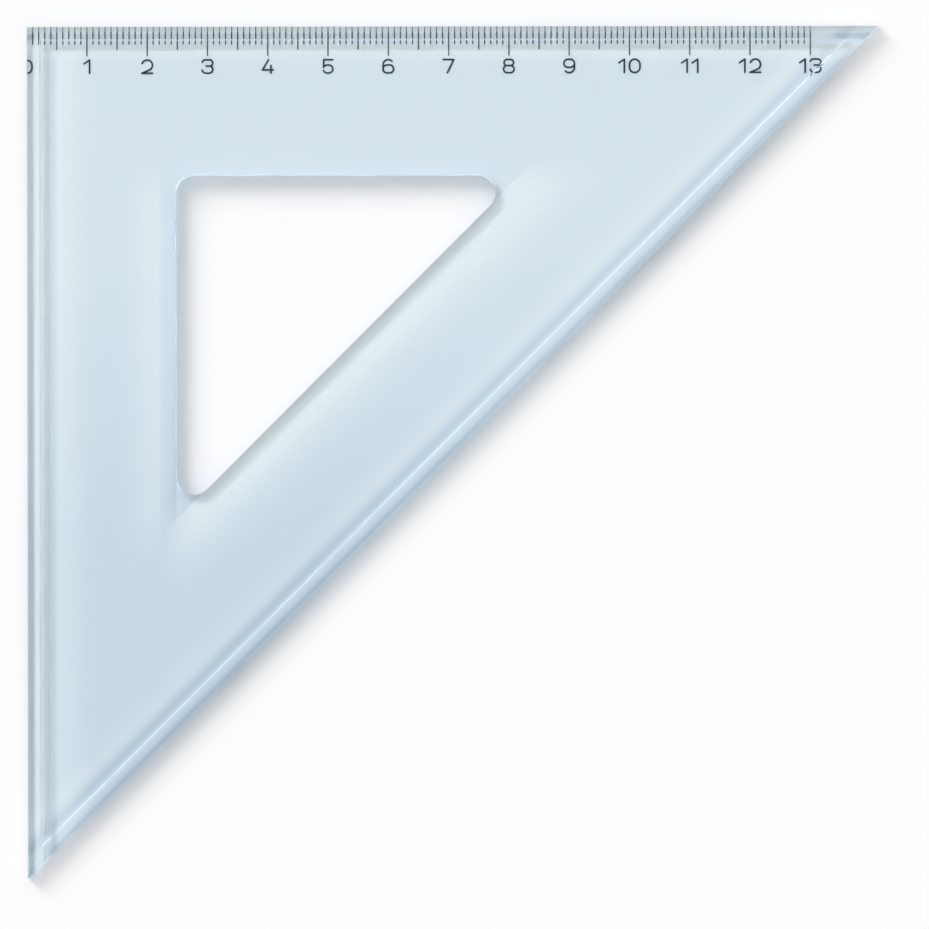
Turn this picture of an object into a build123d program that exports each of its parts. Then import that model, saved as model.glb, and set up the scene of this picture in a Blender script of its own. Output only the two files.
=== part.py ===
from build123d import *

import os
from math import asin, atan2, cos, degrees, hypot, radians, sin, sqrt

# A 45-degree drafting triangle: a clear moulded plate with a triangular finger opening, a stepped rim
# along its three outer edges, and a centimetre scale of ink-filled grooves in its flat underside, which
# is read through the plate. Millimetres, +Z up. The origin is under the middle of the bounding box, on
# the paper. The right angle points to -X +Y, and the scale runs along the +Y edge.

# Plate
leg_length = 141.2
plate_thickness = 3.0
frame_width = 24.6
opening_corner_radius = 3.0
opening_edge_round = 0.15

# Stepped rim along the outer edges
rim_thickness = 2.3
rim_width = 2.05
rim_wall_run = 0.3
rim_edge_round = 0.15

# Lines of the scale, measured from the +Y edge; each starts fine at that edge and then widens
millimetre = 1.0
millimetres_per_half = 5
millimetres_per_centimetre = 10
scale_shift = -0.1
line_width = 0.18
line_edge_gap = 0.1
fine_line_width = 0.1
fine_line_reach = 0.8
millimetre_line_reach = 2.9
half_line_reach = 3.8
centimetre_line_reach = 4.8

# Numerals
numeral_edge_gap = 5.3
numeral_height = 2.5
numeral_width = 2.05
numeral_stroke = 0.3
digit_gap = 0.55
flag_run = 0.9
flag_drop = 0.6

# Ink in its grooves
groove_depth = 0.06
ink_recess = 0.01

# Places that follow from the sizes above
left_edge_x = -leg_length / 2
scale_edge_y = leg_length / 2
scale_zero_x = left_edge_x + scale_shift
inset_shrink = 2 + sqrt(2)
centimetre = millimetre * millimetres_per_centimetre
ink_thickness = groove_depth - ink_recess
pen_width = numeral_width - numeral_stroke
pen_height = numeral_height - numeral_stroke
numeral_base_y = scale_edge_y - numeral_edge_gap - numeral_height + numeral_stroke / 2
widest_numeral = numeral_width + digit_gap + flag_run + numeral_stroke
room_for_scale = leg_length - numeral_edge_gap - numeral_height - widest_numeral / 2
centimetre_count = int(room_for_scale // centimetre)
millimetre_count = centimetre_count * millimetres_per_centimetre


def corners(inset):
    """Give the corners of the triangle whose edges lie inset from the plate's outer edges."""
    leg = leg_length - inset * inset_shrink
    right_angle = (left_edge_x + inset, scale_edge_y - inset)
    scale_tip = (right_angle[0] + leg, right_angle[1])
    plain_tip = (right_angle[0], right_angle[1] - leg)
    return right_angle, plain_tip, scale_tip


def triangle(height, inset):
    """Draw the triangle that lies inset from the outer edges, at a height above the paper."""
    with BuildSketch(Plane.XY.offset(height)) as outline:
        with BuildLine():
            Polyline(*corners(inset), close=True)
        make_face()
    return outline.sketch


def scale_lines(marks, reach):
    """Draw one line of the scale at each mark, a count of millimetres from the scale's zero."""
    hung = (Align.CENTER, Align.MAX)
    marks_x = [scale_zero_x + mark * millimetre for mark in marks]
    with BuildSketch() as lines:
        with Locations(*[(x, scale_edge_y - line_edge_gap) for x in marks_x]):
            Rectangle(fine_line_width, reach - line_edge_gap, align=hung)
        with Locations(*[(x, scale_edge_y - fine_line_reach) for x in marks_x]):
            Rectangle(line_width, reach - fine_line_reach, align=hung)
    return lines.sketch


def pen_strokes(digit):
    """Draw a digit's pen strokes in the open BuildLine, on the baseline and centred on x = 0."""
    side = pen_width / 2
    top = pen_height
    lower_radius = 0.27 * pen_height
    upper_radius = pen_height / 2 - lower_radius
    waist = 2 * lower_radius
    bowl_radius = 0.3 * pen_height
    narrow_side = 0.9 * side
    short_side = side / 4
    hook_end = 160
    tail_turn = 135

    def bowl(half_width, floor, radius):
        """Close a flat-sided oval bowl that stands on a floor line."""
        centre_y = floor + radius
        run = half_width - radius
        CenterArc((run, centre_y), radius, -90, 180)
        CenterArc((-run, centre_y), radius, 90, 180)
        Line((-run, floor), (run, floor))
        Line((-run, floor + 2 * radius), (run, floor + 2 * radius))

    if digit == 0:
        CenterArc((0, top - side), side, 0, 180)
        CenterArc((0, side), side, 180, 180)
        Line((-side, side), (-side, top - side))
        Line((side, side), (side, top - side))
    elif digit == 1:
        Line((-flag_run / 2, top - flag_drop), (flag_run / 2, top))
        Line((flag_run / 2, top), (flag_run / 2, 0))
    elif digit == 2:
        centre_y = top - side
        slope = atan2(centre_y, side) - asin(side / hypot(side, centre_y))
        meet = (centre_y * cos(slope) - side, centre_y * sin(slope))
        arc_start = degrees(slope) - 90
        CenterArc((0, centre_y), side, arc_start, hook_end - arc_start)
        Line(meet, (-side, 0))
        Line((-side, 0), (side, 0))
    elif digit == 3:
        lower_hook = 80
        upper_hook = 75
        for floor, radius in ((0, lower_radius), (waist, upper_radius)):
            CenterArc((side - radius, floor + radius), radius, -90, 180)
        Line((-short_side, waist), (side - lower_radius, waist))
        Line((lower_radius - side, 0), (side - lower_radius, 0))
        Line((upper_radius - side, top), (side - upper_radius, top))
        CenterArc((lower_radius - side, lower_radius), lower_radius, 270 - lower_hook, lower_hook)
        CenterArc((upper_radius - side, top - upper_radius), upper_radius, 90, upper_hook)
    elif digit == 4:
        bar_y = 0.24 * top
        stem_top = 0.58 * top
        stem_x = 0.6 * side
        apex_x = 0.15 * side
        Line((apex_x, top), (-side, bar_y))
        Line((-side, bar_y), (side, bar_y))
        Line((stem_x, stem_top), (stem_x, 0))
    elif digit == 5:
        bowl_start = 155
        run = narrow_side - bowl_radius
        stem_x = bowl_radius * cos(radians(bowl_start)) - run
        stem_foot = bowl_radius * (1 + sin(radians(bowl_start)))
        CenterArc((run, bowl_radius), bowl_radius, -90, 180)
        CenterArc((-run, bowl_radius), bowl_radius, 90, bowl_start - 90)
        CenterArc((-run, bowl_radius), bowl_radius, 360 - hook_end, hook_end - 90)
        Line((-run, 0), (run, 0))
        Line((-run, 2 * bowl_radius), (run, 2 * bowl_radius))
        Line((stem_x, stem_foot), (stem_x, top))
        Line((stem_x, top), (narrow_side, top))
    elif digit == 6:
        bowl(side, 0, bowl_radius)
        Line((-side, bowl_radius), (-side, top - side))
        CenterArc((0, top - side), side, 180 - tail_turn, tail_turn)
    elif digit == 7:
        Line((-side, top), (side, top))
        Line((side, top), (-short_side, 0))
    elif digit == 8:
        bowl(side, 0, lower_radius)
        bowl(narrow_side, waist, upper_radius)
    elif digit == 9:
        bowl(side, top - 2 * bowl_radius, bowl_radius)
        Line((side, top - bowl_radius), (side, side))
        CenterArc((0, side), side, 360 - tail_turn, tail_turn)


def digit_sketch(digit):
    """Ink one digit: every pen stroke becomes a slot as wide as the pen, with round ends."""
    with BuildLine() as pen:
        pen_strokes(digit)
    with BuildSketch() as inked:
        for stroke in pen.edges():
            SlotArc(stroke, numeral_stroke)
    return inked.sketch


def digit_width(digit):
    """Give the width that a digit takes in its numeral."""
    return flag_run + numeral_stroke if digit == 1 else numeral_width


def numeral_sketch(value):
    """Write a numeral centred below its centimetre line, and trim it to the plate."""
    digits = [int(character) for character in str(value)]
    shapes = [digit_sketch(digit) for digit in digits]
    total_width = sum(digit_width(digit) for digit in digits) + digit_gap * (len(digits) - 1)
    pen_x = scale_zero_x + value * centimetre - total_width / 2
    with BuildSketch() as numeral:
        for digit, shape in zip(digits, shapes):
            with Locations((pen_x + digit_width(digit) / 2, numeral_base_y)):
                add(shape)
            pen_x += digit_width(digit) + digit_gap
        with BuildLine():
            Polyline(*corners(line_edge_gap), close=True)
        make_face(mode=Mode.INTERSECT)
    return numeral.sketch


def is_half(mark):
    """Tell whether a mark is a half centimetre."""
    return mark % millimetres_per_centimetre == millimetres_per_half


def is_centimetre(mark):
    """Tell whether a mark is a whole centimetre."""
    return mark % millimetres_per_centimetre == 0


# Every mark of the scale, as flat outlines on the underside
all_marks = range(1, millimetre_count + 1)
outlines = {
    "millimetre_lines": scale_lines(
        [mark for mark in all_marks if not is_half(mark) and not is_centimetre(mark)],
        millimetre_line_reach,
    ),
    "half_centimetre_lines": scale_lines(
        [mark for mark in all_marks if is_half(mark)], half_line_reach
    ),
    "centimetre_lines": scale_lines(
        [mark for mark in all_marks if is_centimetre(mark)], centimetre_line_reach
    ),
}
for value in range(centimetre_count + 1):
    outlines[f"numeral_{value:02d}"] = numeral_sketch(value)

# Moulded plate: the rim's slab, the raised middle with its sloped wall, the opening, then the grooves
rim_outline = triangle(0, 0)
wall_foot = triangle(rim_thickness, rim_width)
wall_top = triangle(plate_thickness, rim_width + rim_wall_run)

with BuildPart() as triangle_plate:
    extrude(rim_outline, amount=rim_thickness)
    fillet(triangle_plate.faces().sort_by(Axis.Z)[-1].edges(), rim_edge_round)
    loft([wall_foot, wall_top], ruled=True)
    with BuildSketch() as opening:
        with BuildLine():
            Polyline(*corners(frame_width), close=True)
        make_face()
        fillet(opening.vertices(), opening_corner_radius)
    extrude(amount=plate_thickness, mode=Mode.SUBTRACT)
    top_face = triangle_plate.faces().sort_by(Axis.Z)[-1]
    fillet(top_face.inner_wires()[0].edges(), opening_edge_round)
    groove_faces = [face for outline in outlines.values() for face in outline.faces()]
    extrude(groove_faces, amount=groove_depth, mode=Mode.SUBTRACT)
triangle_plate.part.label = "triangle_plate"

# Ink: one node for each kind of line and for each numeral
pieces = [triangle_plate.part]
for name, outline in outlines.items():
    with BuildPart() as ink:
        with BuildSketch(Plane.XY.offset(ink_recess)):
            add(outline)
        extrude(amount=ink_thickness)
    ink.part.label = name
    pieces.append(ink.part)

os.makedirs("parts", exist_ok=True)
for piece in pieces:
    export_step(piece, f"parts/{piece.label}.step")
    print(f"{piece.label}: {len(piece.solids())} solids, {piece.volume:.3f} mm3")
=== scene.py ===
"""Looks of a clear 45-degree drafting triangle that lies on white drawing paper.

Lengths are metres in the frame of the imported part: +Z is up, the origin is on the paper under the middle
of the plate, the right angle points to -X +Y, and the scale runs along the +Y edge.
"""

import logging
from dataclasses import dataclass, field
from enum import Enum
from math import cos, pi, radians, sin, sqrt, tan
from typing import Callable

import bmesh
import bpy
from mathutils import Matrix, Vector


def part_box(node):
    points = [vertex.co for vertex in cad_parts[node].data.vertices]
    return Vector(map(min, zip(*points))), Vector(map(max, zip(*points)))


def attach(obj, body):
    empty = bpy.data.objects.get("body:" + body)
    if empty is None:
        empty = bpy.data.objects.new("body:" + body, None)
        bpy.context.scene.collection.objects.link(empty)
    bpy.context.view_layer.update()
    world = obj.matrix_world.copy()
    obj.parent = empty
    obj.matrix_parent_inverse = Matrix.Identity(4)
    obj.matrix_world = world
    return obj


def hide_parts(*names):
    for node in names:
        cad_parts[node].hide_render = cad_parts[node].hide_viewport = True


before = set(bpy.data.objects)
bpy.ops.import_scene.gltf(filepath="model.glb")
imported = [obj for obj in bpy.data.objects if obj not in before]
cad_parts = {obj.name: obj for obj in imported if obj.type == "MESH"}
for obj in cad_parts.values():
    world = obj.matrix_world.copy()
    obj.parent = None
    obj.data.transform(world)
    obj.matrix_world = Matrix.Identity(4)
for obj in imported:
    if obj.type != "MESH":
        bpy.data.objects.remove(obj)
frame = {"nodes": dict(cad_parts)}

MILLIMETRE = 0.001
BODY = "root"
PLATE_NODE = "triangle_plate"
GROUND_ATTRIBUTE = "ground_edge"
PLACE_TOLERANCE = 0.001 * MILLIMETRE
DIAGONAL = sqrt(0.5)

Colour = tuple[float, float, float]
Stops = tuple[tuple[float, float], ...]

log = logging.getLogger("drafting_triangle")


class Corner(Enum):
    """A corner of the finger opening: where its arc starts and how far it turns, in degrees."""

    RIGHT_ANGLE = (90.0, 90.0)
    PLAIN_END = (180.0, 135.0)
    SCALE_END = (315.0, 135.0)

    @property
    def start(self) -> float:
        """Give the angle, in radians, at which the corner's arc starts."""
        return radians(self.value[0])

    @property
    def turn(self) -> float:
        """Give the angle, in radians, that the corner's arc turns through."""
        return radians(self.value[1])


class EdgeFinish(Enum):
    """How a face of the plate is finished, as the value that its face attribute holds."""

    POLISHED = 0.0
    GROUND = 1.0


def rgba(colour: Colour) -> tuple[float, float, float, float]:
    """Give an opaque colour with its alpha."""
    return (*colour, 1.0)


def new_material(name: str) -> bpy.types.Material:
    """Make a node material that has only its Principled shader and its output."""
    material = bpy.data.materials.new(name)
    material.use_nodes = True
    return material


def noise(tree: bpy.types.NodeTree, scale: float, detail: float) -> bpy.types.NodeSocket:
    """Add a noise pattern on Object coordinates.

    Args:
        tree: the material's nodes.
        scale: features in each metre.
        detail: octaves of finer noise.

    Returns:
        The socket that gives the pattern's value, about 0.5 in the middle.
    """
    place = tree.nodes.new("ShaderNodeTexCoord")
    pattern = tree.nodes.new("ShaderNodeTexNoise")
    pattern.inputs["Scale"].default_value = scale
    pattern.inputs["Detail"].default_value = detail
    tree.links.new(place.outputs["Object"], pattern.inputs["Vector"])
    return pattern.outputs["Fac"]


def spread(
    tree: bpy.types.NodeTree,
    source: bpy.types.NodeSocket,
    reach: tuple[float, float],
    low: float,
    high: float,
) -> bpy.types.NodeSocket:
    """Map a value onto another range.

    Args:
        tree: the material's nodes.
        source: the socket to map.
        reach: the values of the source that give the low and the high end.
        low: the result at the first of them.
        high: the result at the second.

    Returns:
        The socket of the mapped value.
    """
    mapped = tree.nodes.new("ShaderNodeMapRange")
    mapped.inputs["From Min"].default_value = reach[0]
    mapped.inputs["From Max"].default_value = reach[1]
    mapped.inputs["To Min"].default_value = low
    mapped.inputs["To Max"].default_value = high
    tree.links.new(source, mapped.inputs["Value"])
    return mapped.outputs["Result"]


def combine(
    tree: bpy.types.NodeTree,
    operation: str,
    first: bpy.types.NodeSocket | float,
    second: bpy.types.NodeSocket | float,
) -> bpy.types.NodeSocket:
    """Join two values with a Math node.

    Args:
        tree: the material's nodes.
        operation: what the Math node does.
        first: its first value, a socket or a number.
        second: its second value, a socket or a number.

    Returns:
        The socket of the result.
    """
    joined = tree.nodes.new("ShaderNodeMath")
    joined.operation = operation
    for socket, value in zip(joined.inputs, (first, second)):
        if isinstance(value, bpy.types.NodeSocket):
            tree.links.new(value, socket)
        else:
            socket.default_value = value
    return joined.outputs["Value"]


def follow(
    tree: bpy.types.NodeTree,
    distance: bpy.types.NodeSocket,
    stops: Stops,
) -> bpy.types.NodeSocket:
    """Look a distance up in a list of stops, with straight runs between them.

    Args:
        tree: the material's nodes.
        distance: the socket of the distance, in metres.
        stops: distances in millimetres, from the least up, and the value at each.

    Returns:
        The socket of the value.
    """
    reach = stops[-1][0]
    curve = tree.nodes.new("ShaderNodeFloatCurve")
    curve.mapping.use_clip = False
    curve.mapping.extend = "HORIZONTAL"
    points = curve.mapping.curves[0].points
    while len(points) < len(stops):
        points.new(*stops[0])
    for point, (place, value) in zip(points, stops):
        point.location = (place / reach, value)
        point.handle_type = "VECTOR"
    curve.mapping.update()
    tree.links.new(combine(tree, "DIVIDE", distance, reach * MILLIMETRE), curve.inputs["Value"])
    return curve.outputs["Value"]


def blend_colours(
    tree: bpy.types.NodeTree,
    share: bpy.types.NodeSocket,
    *colours: Colour,
) -> bpy.types.NodeSocket:
    """Run through evenly spaced colours by a value.

    Args:
        tree: the material's nodes.
        share: the socket that gives 0 for the first colour and 1 for the last one.
        colours: the colours in their order.

    Returns:
        The socket of the mixed colour.
    """
    ramp = tree.nodes.new("ShaderNodeValToRGB")
    elements = ramp.color_ramp.elements
    for step in range(1, len(colours) - 1):
        elements.new(step / (len(colours) - 1))
    for element, colour in zip(elements, colours):
        element.color = rgba(colour)
    tree.links.new(share, ramp.inputs["Fac"])
    return ramp.outputs["Color"]


@dataclass(frozen=True)
class ClearPlastic:
    """Clear pale-blue plastic with polished faces and ground edges, tinted in its depth and at its skin.

    The skin's colour is the plastic's tint with painted light and shade in it: a share that runs from
    shaded_skin through deep_skin to lit_skin. The share rises towards the scale, a painted fall of light,
    and the band lists are changes of it, by the distance from an edge in millimetres. They are painted
    bands of light and shade at the edges that the shape and the lamps do not give by themselves, and were
    fitted to how the plate looks from above.
    """

    slot: str = "clear_plastic"
    depth_tint: Colour = (0.2325, 0.51, 0.681)
    tint_density: float = 39.0
    # The first and last of these three colours are the ends for painted shade and for painted light.
    shaded_skin: Colour = (0.637, 0.715, 0.774)
    deep_skin: Colour = (0.852, 0.897, 0.935)
    lit_skin: Colour = (0.98, 1.0, 1.0)
    # Painted fall of light: the skin's colour gets lighter from -Y towards the scale at +Y.
    falloff_reach: tuple[float, float] = (-16.0 * MILLIMETRE, 33.0 * MILLIMETRE)
    painted_falloff_share: tuple[float, float] = (0.5, 0.73)
    # Painted bands of light and shade, by the distance in millimetres from the left, slant and top edges.
    left_painted_bands: Stops = (
        (0.0, 0.25), (0.3, 0.0), (0.6, -0.16), (0.9, -0.1), (1.3, 0.4), (2.4, 0.4), (2.8, -0.06),
        (3.2, 0.4), (3.6, 0.15), (4.3, -0.17), (5.2, 0.23), (6.0, 0.23), (10.5, 0.0),
    )
    slant_painted_bands: Stops = (
        (0.0, -0.25), (0.35, -0.46), (0.65, -0.34), (1.1, -0.12), (1.5, -0.14), (1.9, 0.02), (2.2, -0.02),
        (2.6, -0.18), (3.15, -0.32), (3.7, -0.24), (4.6, 0.03), (5.5, 0.14), (8.0, 0.0),
    )
    top_painted_bands: Stops = (
        (0.0, 0.27), (1.0, 0.27), (1.25, -0.4), (1.75, -0.48), (2.1, -0.25), (2.35, 0.2), (2.65, -0.1),
        (2.9, 0.27), (4.2, 0.27), (4.8, 0.08), (6.5, 0.0),
    )
    # Painted light and shade beside the finger opening: a pale glow along its slant side, and light and
    # then shade along its left side.
    opening_slant_painted_bands: Stops = (
        (0.0, 0.0), (13.6, 0.0), (15.9, 0.04), (18.6, 0.16), (21.6, 0.38), (22.6, 0.44), (24.6, 0.44),
        (24.7, 0.0), (26.0, 0.0),
    )
    opening_left_painted_bands: Stops = (
        (0.0, 0.0), (16.1, 0.0), (20.2, 0.18), (21.7, 0.18), (22.3, -0.05), (23.4, -0.1), (24.6, -0.26),
        (24.7, 0.0), (26.0, 0.0),
    )
    beside_opening: tuple[float, float] = (22.0 * MILLIMETRE, 28.0 * MILLIMETRE)
    refraction: float = 1.5
    clearness: float = 1.0
    polished_roughness: tuple[float, float] = (0.0, 0.02)
    ground_roughness: tuple[float, float] = (0.8, 0.95)
    smudge_scale: float = 60.0
    smudge_detail: float = 3.0
    grain_scale: float = 4000.0
    grain_detail: float = 2.0
    noise_reach: tuple[float, float] = (0.3, 0.7)

    def material(self, leg: float) -> bpy.types.Material:
        """Make the plastic.

        Args:
            leg: the length of the plate's legs.

        Returns:
            The material, which reads the plate's ground-edge attribute.
        """
        material = new_material("clear_blue_plastic")
        tree = material.node_tree
        shader = tree.nodes["Principled BSDF"]
        tree.links.new(self._skin(tree, leg), shader.inputs["Base Color"])
        shader.inputs["IOR"].default_value = self.refraction
        shader.inputs["Transmission Weight"].default_value = self.clearness
        tree.links.new(self._roughness(tree), shader.inputs["Roughness"])
        depth = tree.nodes.new("ShaderNodeVolumeAbsorption")
        depth.inputs["Color"].default_value = rgba(self.depth_tint)
        depth.inputs["Density"].default_value = self.tint_density
        tree.links.new(depth.outputs["Volume"], tree.nodes["Material Output"].inputs["Volume"])
        return material

    def _skin(self, tree: bpy.types.NodeTree, leg: float) -> bpy.types.NodeSocket:
        """Add the skin's colour: the plastic's tint, lighter towards the scale by a painted fall of light,
        with painted bands of light and shade near the edges and the opening.

        Args:
            tree: the material's nodes.
            leg: the length of the plate's legs.

        Returns:
            The socket of the colour.
        """
        place = tree.nodes.new("ShaderNodeTexCoord")
        axes = tree.nodes.new("ShaderNodeSeparateXYZ")
        tree.links.new(place.outputs["Object"], axes.inputs["Vector"])
        across, along = axes.outputs["X"], axes.outputs["Y"]
        from_left = combine(tree, "ADD", across, leg / 2)
        from_top = combine(tree, "SUBTRACT", leg / 2, along)
        from_slant = combine(tree, "MULTIPLY", combine(tree, "SUBTRACT", along, across), DIAGONAL)
        # A painted fall of light: the skin is lighter towards the scale.
        share = spread(tree, along, self.falloff_reach, *self.painted_falloff_share)
        # Painted bands of light and shade along the outer edges.
        for distance, stops in (
            (from_left, self.left_painted_bands),
            (from_slant, self.slant_painted_bands),
            (from_top, self.top_painted_bands),
        ):
            share = combine(tree, "ADD", share, follow(tree, distance, stops))
        # Painted light and shade beside the opening, faded in only near it.
        for distance, stops, nearest in (
            (from_slant, self.opening_slant_painted_bands, combine(tree, "MINIMUM", from_left, from_top)),
            (from_left, self.opening_left_painted_bands, combine(tree, "MINIMUM", from_top, from_slant)),
        ):
            beside = spread(tree, nearest, self.beside_opening, 0.0, 1.0)
            change = combine(tree, "MULTIPLY", beside, follow(tree, distance, stops))
            share = combine(tree, "ADD", share, change)
        return blend_colours(tree, share, self.shaded_skin, self.deep_skin, self.lit_skin)

    def _roughness(self, tree: bpy.types.NodeTree) -> bpy.types.NodeSocket:
        """Add the roughness: handling marks on the faces, and a fine grain on the ground edges.

        Args:
            tree: the material's nodes.

        Returns:
            The socket of the roughness.
        """
        marks = noise(tree, self.smudge_scale, self.smudge_detail)
        smudges = spread(tree, marks, self.noise_reach, *self.polished_roughness)
        scratches = noise(tree, self.grain_scale, self.grain_detail)
        grain = spread(tree, scratches, self.noise_reach, *self.ground_roughness)
        ground = tree.nodes.new("ShaderNodeAttribute")
        ground.attribute_name = GROUND_ATTRIBUTE
        chosen = tree.nodes.new("ShaderNodeMix")
        tree.links.new(ground.outputs["Fac"], chosen.inputs["Factor"])
        tree.links.new(smudges, chosen.inputs["A"])
        tree.links.new(grain, chosen.inputs["B"])
        return chosen.outputs["Result"]


@dataclass(frozen=True)
class ScaleInk:
    """Dark blue-grey ink that fills the fine grooves of the scale, a little uneven along each stroke."""

    slot: str = "scale_ink"
    thick: Colour = (0.02, 0.042, 0.066)
    thin: Colour = (0.036, 0.068, 0.1)
    roughness: tuple[float, float] = (0.45, 0.65)
    mottle_scale: float = 5000.0
    mottle_detail: float = 2.0
    noise_reach: tuple[float, float] = (0.3, 0.7)
    sheen_level: float = 0.1

    def material(self) -> bpy.types.Material:
        """Make the ink.

        Returns:
            The material for every line and numeral.
        """
        material = new_material("dark_scale_ink")
        tree = material.node_tree
        shader = tree.nodes["Principled BSDF"]
        mottle = noise(tree, self.mottle_scale, self.mottle_detail)
        share = spread(tree, mottle, self.noise_reach, 0.0, 1.0)
        tree.links.new(blend_colours(tree, share, self.thick, self.thin), shader.inputs["Base Color"])
        tree.links.new(spread(tree, mottle, self.noise_reach, *self.roughness), shader.inputs["Roughness"])
        shader.inputs["Specular IOR Level"].default_value = self.sheen_level
        return material


@dataclass(frozen=True)
class DrawingPaper:
    """Smooth white drawing paper with a barely visible tooth."""

    bright: Colour = (0.965, 0.965, 0.965)
    shaded: Colour = (0.955, 0.955, 0.955)
    roughness: float = 0.9
    tooth_scale: float = 900.0
    tooth_detail: float = 2.0
    sheen_level: float = 0.0

    def material(self) -> bpy.types.Material:
        """Make the paper.

        Returns:
            The floor's material.
        """
        material = new_material("white_drawing_paper")
        tree = material.node_tree
        shader = tree.nodes["Principled BSDF"]
        tooth = noise(tree, self.tooth_scale, self.tooth_detail)
        tree.links.new(blend_colours(tree, tooth, self.shaded, self.bright), shader.inputs["Base Color"])
        shader.inputs["Roughness"].default_value = self.roughness
        shader.inputs["Specular IOR Level"].default_value = self.sheen_level
        return material


def pick_vertices(piece: bpy.types.Object, test: Callable[[Vector], bool]) -> None:
    """Select, in edit mode, the vertices whose place passes a test, and nothing else.

    Args:
        piece: the object in edit mode.
        test: tells whether a place is wanted.
    """
    bpy.ops.mesh.select_mode(type="VERT")
    bpy.ops.mesh.select_all(action="DESELECT")
    mesh = bmesh.from_edit_mesh(piece.data)
    for vertex in mesh.verts:
        vertex.select = test(vertex.co)
    mesh.select_flush_mode()
    bmesh.update_edit_mesh(piece.data)


def pick_faces(piece: bpy.types.Object, test: Callable[[Vector, Vector], bool]) -> None:
    """Select, in edit mode, the faces whose middle and normal pass a test, and nothing else.

    Args:
        piece: the object in edit mode.
        test: tells whether a face with that middle and normal is wanted.
    """
    bpy.ops.mesh.select_mode(type="FACE")
    bpy.ops.mesh.select_all(action="DESELECT")
    mesh = bmesh.from_edit_mesh(piece.data)
    for face in mesh.faces:
        face.select = test(face.calc_center_median(), face.normal)
    mesh.select_flush_mode()
    bmesh.update_edit_mesh(piece.data)


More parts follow.
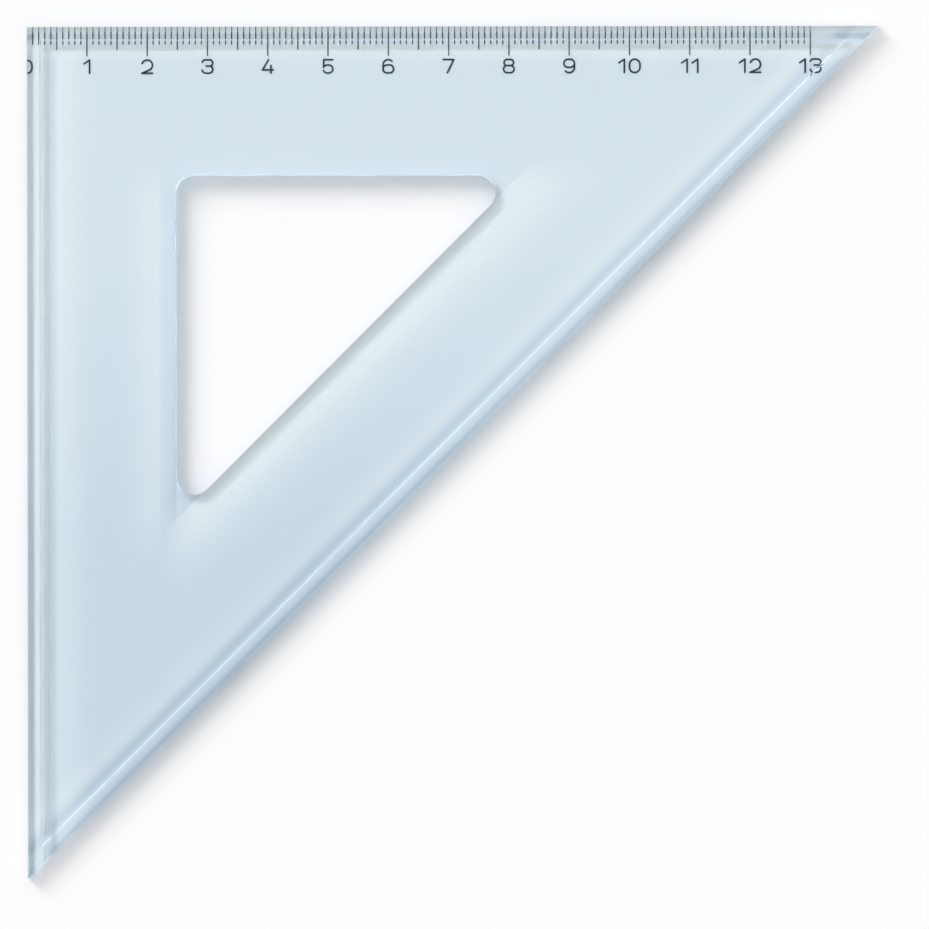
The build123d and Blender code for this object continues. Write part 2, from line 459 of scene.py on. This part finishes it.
@dataclass
class TrianglePlate:
    """The moulded plate: a stepped rim along its three edges, a raised middle and the finger opening."""

    leg: float
    thickness: float
    frame_width: float = 24.6 * MILLIMETRE
    corner_radius: float = 3.0 * MILLIMETRE
    rim_thickness: float = 2.3 * MILLIMETRE
    rim_width: float = 2.05 * MILLIMETRE
    wall_run: float = 0.3 * MILLIMETRE
    rim_round: float = 0.15 * MILLIMETRE
    opening_round: float = 0.15 * MILLIMETRE
    round_steps: int = 4
    circle_points: int = 96
    smooth_angle: float = radians(10.0)
    upright_limit: float = 0.05
    finish: ClearPlastic = field(default_factory=ClearPlastic)

    @classmethod
    def from_frame(cls) -> "TrianglePlate":
        """Take the plate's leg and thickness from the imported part."""
        low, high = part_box(PLATE_NODE)
        return cls(leg=high.x - low.x, thickness=high.z - low.z)

    def make(self) -> bpy.types.Object:
        """Model the plate, dress it and set it in place of its CAD node.

        Returns:
            The finished plate.
        """
        piece = self._blank()
        self._raise_rim()
        self._raise_middle()
        self._open_faces(piece)
        self._wall_opening(piece)
        self._close_faces(piece)
        bpy.ops.object.mode_set(mode="OBJECT")
        bpy.ops.object.shade_smooth_by_angle(angle=self.smooth_angle)
        self._mark_ground_edges(piece)
        piece.data.materials.append(self.finish.material(self.leg))
        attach(piece, BODY)
        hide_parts(PLATE_NODE)
        return piece

    def _blank(self) -> bpy.types.Object:
        """Lay a square sheet, cut it along the slant edge and leave it in edit mode.

        Returns:
            The triangular blank, with its face selected.
        """
        bpy.ops.object.select_all(action="DESELECT")
        bpy.ops.mesh.primitive_plane_add(size=self.leg)
        piece = bpy.context.object
        piece.name = "clear_plate"
        bpy.ops.object.mode_set(mode="EDIT")
        bpy.ops.mesh.select_all(action="SELECT")
        bpy.ops.mesh.bisect(plane_co=(0, 0, 0), plane_no=(DIAGONAL, -DIAGONAL, 0), clear_outer=True)
        bpy.ops.mesh.select_all(action="SELECT")
        return piece

    def _round_profile(self, radius: float) -> list[tuple[float, float]]:
        """Give a rounded edge as runs inwards and rises, from the side wall to the top face.

        Args:
            radius: the radius of the round.

        Returns:
            One run and rise for each step of the round.
        """
        turn = pi / 2 / self.round_steps
        angles = [turn * step for step in range(self.round_steps + 1)]
        return [
            (radius * (cos(start) - cos(end)), radius * (sin(end) - sin(start)))
            for start, end in zip(angles, angles[1:])
        ]

    def _raise_rim(self) -> None:
        """Extrude the blank to the rim's side wall, round its upper edge and lay the ledge."""
        side = self.rim_thickness - self.rim_round
        bpy.ops.mesh.extrude_region_move(TRANSFORM_OT_translate={"value": (0, 0, side)})
        for run, rise in self._round_profile(self.rim_round):
            bpy.ops.mesh.inset(thickness=run, depth=rise)
        bpy.ops.mesh.inset(thickness=self.rim_width - self.rim_round, depth=0)

    def _raise_middle(self) -> None:
        """Raise the face inside the ledge, with its sloped wall."""
        bpy.ops.mesh.inset(thickness=self.wall_run, depth=self.thickness - self.rim_thickness)

    def _open_faces(self, piece: bpy.types.Object) -> None:
        """Take out the whole upper and lower faces, which are closed again round the opening.

        Args:
            piece: the plate in edit mode.
        """
        def is_whole_face(middle: Vector, _: Vector) -> bool:
            """Tell whether a face is the lowest or the highest one."""
            return middle.z < PLACE_TOLERANCE or middle.z > self.thickness - PLACE_TOLERANCE

        pick_faces(piece, is_whole_face)
        bpy.ops.mesh.delete(type="ONLY_FACE")

    def _corner_centre(self, corner: Corner) -> Vector:
        """Give the place on the paper of the centre of one of the opening's corner arcs."""
        left = -self.leg / 2 + self.frame_width
        top = self.leg / 2 - self.frame_width
        inner_leg = self.leg - self.frame_width * (2 + sqrt(2))
        half_tip_angle = pi / 8
        reach = inner_leg - self.corner_radius / tan(half_tip_angle)
        near = Vector((left + self.corner_radius, top - self.corner_radius, 0))
        if corner is Corner.PLAIN_END:
            return Vector((near.x, top - reach, 0))
        if corner is Corner.SCALE_END:
            return Vector((left + reach, near.y, 0))
        return near

    def _draw_loop(self, piece: bpy.types.Object, offset: float, height: float) -> None:
        """Draw the opening's outline once: three corner arcs, joined by straight edges.

        Args:
            piece: the plate in edit mode.
            offset: how far the outline lies outside the opening's wall.
            height: how high it lies above the paper.
        """
        radius = self.corner_radius + offset
        slack = pi / self.circle_points / 2
        ends = []
        for corner in Corner:
            centre = self._corner_centre(corner) + Vector((0, 0, height))
            bpy.ops.mesh.primitive_circle_add(vertices=self.circle_points, radius=radius, location=centre)

            def is_off_arc(place: Vector) -> bool:
                """Tell whether a point of this circle lies past the ends of its arc."""
                spoke = place - centre
                on_circle = abs(spoke.z) < PLACE_TOLERANCE and abs(spoke.length - radius) < PLACE_TOLERANCE
                angle = Vector((1, 0)).angle_signed(spoke.xy, 0.0) * -1 if on_circle else 0.0
                past_start = (angle - corner.start + slack) % (2 * pi)
                return on_circle and past_start > corner.turn + 2 * slack

            pick_vertices(piece, is_off_arc)
            bpy.ops.mesh.delete(type="VERT")
            for angle in (corner.start, corner.start + corner.turn):
                ends.append(centre + radius * Vector((cos(angle), sin(angle), 0)))
        starts = ends[2::2] + ends[:1]
        for end, start in zip(ends[1::2], starts):
            pick_vertices(
                piece,
                lambda place: min((place - end).length, (place - start).length) < PLACE_TOLERANCE,
            )
            bpy.ops.mesh.edge_face_add()

    def _wall_opening(self, piece: bpy.types.Object) -> None:
        """Wall the opening from the paper up, and round its upper edge.

        Args:
            piece: the plate in edit mode.
        """
        loops = [(0.0, 0.0), (0.0, self.thickness - self.opening_round)]
        for run, rise in self._round_profile(self.opening_round):
            offset, height = loops[-1]
            loops.append((offset + run, height + rise))
        for offset, height in loops:
            self._draw_loop(piece, offset, height)
        for (_, lower), (_, upper) in zip(loops, loops[1:]):
            pick_vertices(
                piece,
                lambda place: self._is_inner(place)
                and min(abs(place.z - lower), abs(place.z - upper)) < PLACE_TOLERANCE,
            )
            bpy.ops.mesh.bridge_edge_loops()

    def _is_inner(self, place: Vector) -> bool:
        """Tell whether a place lies nearer to the opening than to the plate's outer edges."""
        halfway = self.frame_width / 2
        from_left = place.x + self.leg / 2
        from_top = self.leg / 2 - place.y
        from_slant = (place.y - place.x) * DIAGONAL
        return min(from_left, from_top, from_slant) > halfway

    def _close_faces(self, piece: bpy.types.Object) -> None:
        """Close the upper and lower faces between the rim and the opening, and point all faces outwards.

        Args:
            piece: the plate in edit mode.
        """
        for height in (0.0, self.thickness):
            pick_vertices(piece, lambda place: abs(place.z - height) < PLACE_TOLERANCE)
            bpy.ops.mesh.fill(use_beauty=True)
        bpy.ops.mesh.select_all(action="SELECT")
        bpy.ops.mesh.remove_doubles(threshold=PLACE_TOLERANCE)
        bpy.ops.mesh.normals_make_consistent(inside=False)

    def _mark_ground_edges(self, piece: bpy.types.Object) -> None:
        """Write on each face whether it is polished or, as the upright side walls are, ground.

        Args:
            piece: the plate in object mode.
        """
        finishes = piece.data.attributes.new(GROUND_ATTRIBUTE, "FLOAT", "FACE")
        for face in piece.data.polygons:
            upright = abs(face.normal.z) < self.upright_limit
            finish = EdgeFinish.GROUND if upright else EdgeFinish.POLISHED
            finishes.data[face.index].value = finish.value


@dataclass
class InkedScale:
    """The centimetre scale: its lines and numerals keep their CAD solids and get their ink."""

    finish: ScaleInk = field(default_factory=ScaleInk)

    def dress(self, nodes: dict[str, bpy.types.Object]) -> list[bpy.types.Object]:
        """Ink every line and numeral.

        Args:
            nodes: the CAD nodes by name.

        Returns:
            The inked pieces.
        """
        ink = self.finish.material()
        strokes = [node for name, node in nodes.items() if name != PLATE_NODE]
        for stroke in strokes:
            for slot in stroke.material_slots:
                slot.material = ink
        return strokes


class LampRole(Enum):
    """What a lamp does in the studio."""

    OVERHEAD = "overhead_lamp"
    KEY = "key_lamp"
    HIGH_KEY = "high_key_lamp"
    TOP = "top_lamp"
    LOW_TOP = "low_top_lamp"
    LEFT = "left_lamp"
    HIGH_LEFT = "high_left_lamp"


@dataclass(frozen=True)
class Lamp:
    """A large soft lamp, far from the table.

    Its bearing, elevation and softness are degrees, and its share is its part of the light on open paper.
    A lamp that does not show in gloss lights the table, but has no mirror image in the polished faces.
    """

    role: LampRole
    bearing: float
    elevation: float
    softness: float
    share: float
    shows_in_gloss: bool = True

    def place(self) -> bpy.types.Object:
        """Add the lamp, turned towards the table.

        Returns:
            The lamp.
        """
        data = bpy.data.lights.new(self.role.value, "SUN")
        data.energy = self.share * pi / sin(radians(self.elevation))
        data.angle = radians(self.softness)
        lamp = bpy.data.objects.new(self.role.value, data)
        bpy.context.scene.collection.objects.link(lamp)
        lamp.visible_glossy = self.shows_in_gloss
        level = cos(radians(self.elevation))
        towards_lamp = Vector(
            (
                level * cos(radians(self.bearing)),
                level * sin(radians(self.bearing)),
                sin(radians(self.elevation)),
            )
        )
        lamp.rotation_euler = towards_lamp.to_track_quat("Z", "Y").to_euler()
        return lamp


@dataclass
class Studio:
    """White paper under soft light, seen from straight above."""

    floor_size: float = 3.0
    floor_gap: float = 0.05 * MILLIMETRE
    dome_share: float = 0.24
    dome_colour: Colour = (1.0, 1.0, 1.0)
    lamps: tuple[Lamp, ...] = (
        Lamp(LampRole.OVERHEAD, bearing=0.0, elevation=90.0, softness=90.0, share=0.17),
        Lamp(LampRole.KEY, bearing=135.0, elevation=31.0, softness=34.0, share=0.32, shows_in_gloss=False),
        Lamp(LampRole.HIGH_KEY, bearing=135.0, elevation=60.0, softness=30.0, share=0.07),
        Lamp(LampRole.TOP, bearing=90.0, elevation=50.0, softness=50.0, share=0.07),
        Lamp(LampRole.LOW_TOP, bearing=90.0, elevation=25.0, softness=50.0, share=0.05),
        Lamp(LampRole.LEFT, bearing=180.0, elevation=30.0, softness=40.0, share=0.04),
        Lamp(LampRole.HIGH_LEFT, bearing=180.0, elevation=60.0, softness=30.0, share=0.07),
    )
    view_width: float = 153.97 * MILLIMETRE
    view_height: float = 1500.0 * MILLIMETRE
    view_middle: tuple[float, float] = (1.84 * MILLIMETRE, -2.03 * MILLIMETRE)
    view_level: float = 2.3 * MILLIMETRE
    view_roll: float = radians(-0.09)
    sensor_width: float = 36.0
    light_bounces: int = 64
    gloss_blur: float = 0.0
    paper: DrawingPaper = field(default_factory=DrawingPaper)

    def set_up(self) -> None:
        """Lay the paper, light it and place the camera."""
        self._lay_paper()
        self._light_dome()
        for lamp in self.lamps:
            log.info("lamp %s", lamp.place().name)
        self._place_camera()
        scene = bpy.context.scene
        scene.view_settings.view_transform = "Standard"
        scene.cycles.blur_glossy = self.gloss_blur
        scene.cycles.max_bounces = self.light_bounces
        scene.cycles.glossy_bounces = self.light_bounces
        scene.cycles.transmission_bounces = self.light_bounces

    def _lay_paper(self) -> None:
        """Lay a sheet of paper, larger than the view, just under the plate."""
        bpy.ops.object.select_all(action="DESELECT")
        bpy.ops.mesh.primitive_plane_add(size=self.floor_size, location=(0, 0, -self.floor_gap))
        bpy.ops.object.transform_apply(location=True, rotation=False, scale=False)
        floor = bpy.context.object
        floor.name = "paper_floor"
        floor.data.materials.append(self.paper.material())

    def _light_dome(self) -> None:
        """Light the table evenly from all round."""
        world = bpy.data.worlds.new("studio_dome")
        bpy.context.scene.world = world
        world.use_nodes = True
        light = world.node_tree.nodes["Background"]
        light.inputs["Color"].default_value = rgba(self.dome_colour)
        light.inputs["Strength"].default_value = self.dome_share

    def _place_camera(self) -> None:
        """Hang the camera straight above the plate, with +Y up in the picture."""
        data = bpy.data.cameras.new("overhead_camera")
        data.sensor_width = self.sensor_width
        data.lens = self.sensor_width * self.view_height / self.view_width
        camera = bpy.data.objects.new("overhead_camera", data)
        bpy.context.scene.collection.objects.link(camera)
        camera.location = (*self.view_middle, self.view_height + self.view_level)
        camera.rotation_euler = (0, 0, self.view_roll)
        bpy.context.scene.camera = camera


def main() -> None:
    """Build the plate, ink the scale and set up the studio."""
    logging.basicConfig(level=logging.INFO, format="%(name)s: %(message)s")
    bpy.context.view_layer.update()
    plate = TrianglePlate.from_frame().make()
    log.info("piece %s, %d faces", plate.name, len(plate.data.polygons))
    for stroke in InkedScale().dress(frame["nodes"]):
        log.info("piece %s", stroke.name)
    Studio().set_up()


if __name__ == "__main__":
    main()
